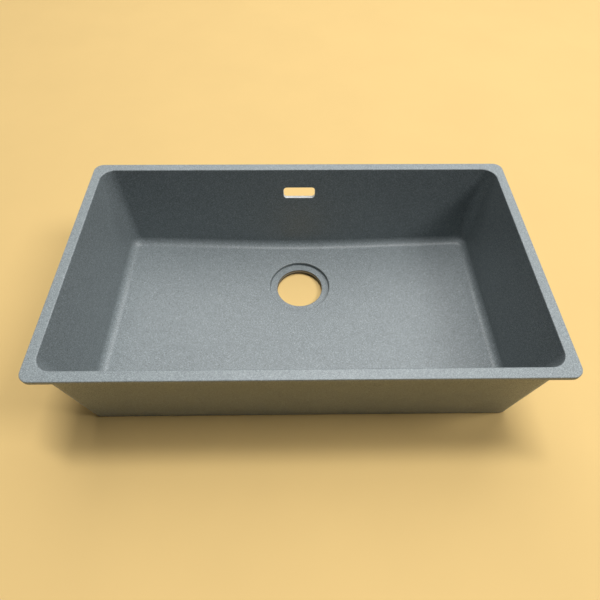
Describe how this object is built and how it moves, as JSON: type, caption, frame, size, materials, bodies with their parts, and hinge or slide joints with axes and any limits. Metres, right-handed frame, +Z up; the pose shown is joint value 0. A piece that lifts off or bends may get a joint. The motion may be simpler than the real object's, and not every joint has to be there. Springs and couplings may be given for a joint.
{
  "type": "flush-mount kitchen sink",
  "caption": "Rectangular single-bowl composite kitchen sink with a narrow flat rim for flush fitting, a falling floor, a recessed outlet and an overflow slot in the back wall.",
  "frame": {"origin": "middle of the rim's plan outline, at the level of the base that the sink stands on", "axes": "+X along the sink's width to the right, +Y to the back wall with the overflow slot, +Z up through the open bowl"},
  "size_m": [0.76, 0.44, 0.2],
  "materials": {
    "composite": "moulded quartz composite, satin, bluish mid-grey with a fine light and dark grain",
    "brass": "turned brass, slightly dulled"
  },
  "bodies": {
    "root": {"sink_bowl": "composite", "insert_front_outer_left": "brass", "insert_front_inner_left": "brass", "insert_front_inner_right": "brass", "insert_front_outer_right": "brass", "insert_back_outer_left": "brass", "insert_back_inner_left": "brass", "insert_back_inner_right": "brass", "insert_back_outer_right": "brass", "insert_left_end": "brass", "insert_right_end": "brass"}
  },
  "joints": []
}
